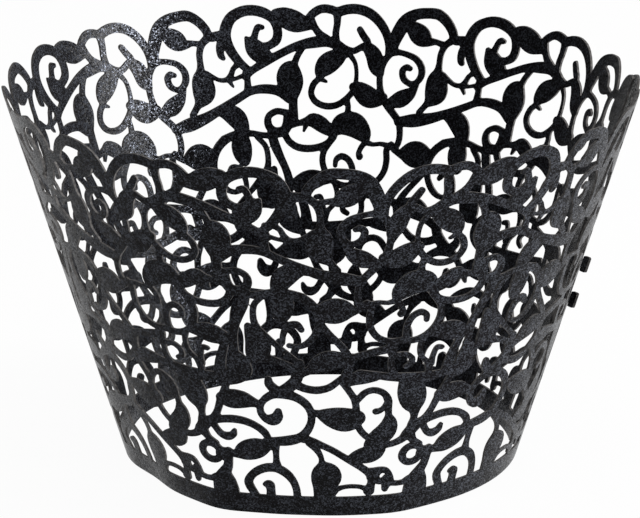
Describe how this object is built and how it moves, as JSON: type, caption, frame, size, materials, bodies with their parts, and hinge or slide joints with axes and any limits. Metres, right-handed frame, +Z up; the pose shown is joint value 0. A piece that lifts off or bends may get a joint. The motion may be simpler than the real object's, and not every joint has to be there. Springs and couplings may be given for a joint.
{
  "type": "cupcake wrapper",
  "caption": "Open cone of laser-cut card with a scrollwork filigree and a scalloped top edge, to stand round a cupcake.",
  "frame": {"origin": "centre of the round base edge that the wrapper stands on", "axes": "+Z up along the cone's axis from the narrow base to the scalloped mouth, +X towards the seam"},
  "size_m": [0.0835, 0.0832, 0.051],
  "materials": {
    "pearl_card": "black pearlescent card, fine grey speckle, soft satin sheen"
  },
  "bodies": {
    "root": {"filigree_wrapper": "pearl_card"}
  },
  "joints": []
}
